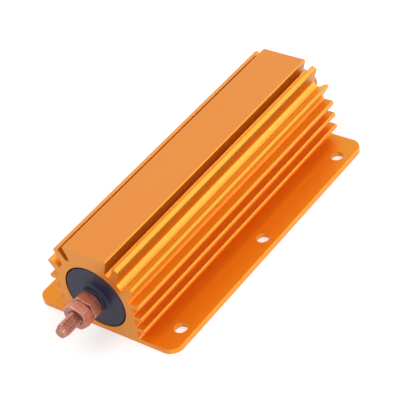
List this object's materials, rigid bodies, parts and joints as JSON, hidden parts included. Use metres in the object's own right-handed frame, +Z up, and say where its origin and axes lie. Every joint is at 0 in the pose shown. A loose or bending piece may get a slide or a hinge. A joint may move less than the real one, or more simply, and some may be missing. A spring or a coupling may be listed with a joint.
{
  "type": "housed power resistor",
  "caption": "Wirewound power resistor in a finned aluminium housing with a flange for bolting to a plate and a threaded stud terminal at each end.",
  "frame": {"origin": "centre of the mounting face, on the plane that the flange is bolted to", "axes": "+X along the body and its terminals, +Y across the flange, +Z up from the mounting face to the flat top land"},
  "size_m": [0.18, 0.0724, 0.0406],
  "materials": {
    "gold_aluminium": "gold anodised, satin",
    "copper": "plain machined copper",
    "dark_insulator": "semi-gloss moulded",
    "ceramic": "fired, unglazed",
    "cement": "cast, rough",
    "resistance_wire": "drawn wire",
    "cap_steel": "pressed, plated"
  },
  "bodies": {
    "root": {"housing": "gold_aluminium", "cement_filling": "cement", "ceramic_core": "ceramic", "resistance_winding": "resistance_wire", "end_cap_left": "cap_steel", "end_cap_right": "cap_steel", "terminal_stud_left": "copper", "terminal_stud_right": "copper", "end_disc_left": "dark_insulator", "end_disc_right": "dark_insulator", "inner_nut_left": "copper", "inner_nut_right": "copper", "outer_nut_left": "copper", "outer_nut_right": "copper"}
  },
  "joints": []
}
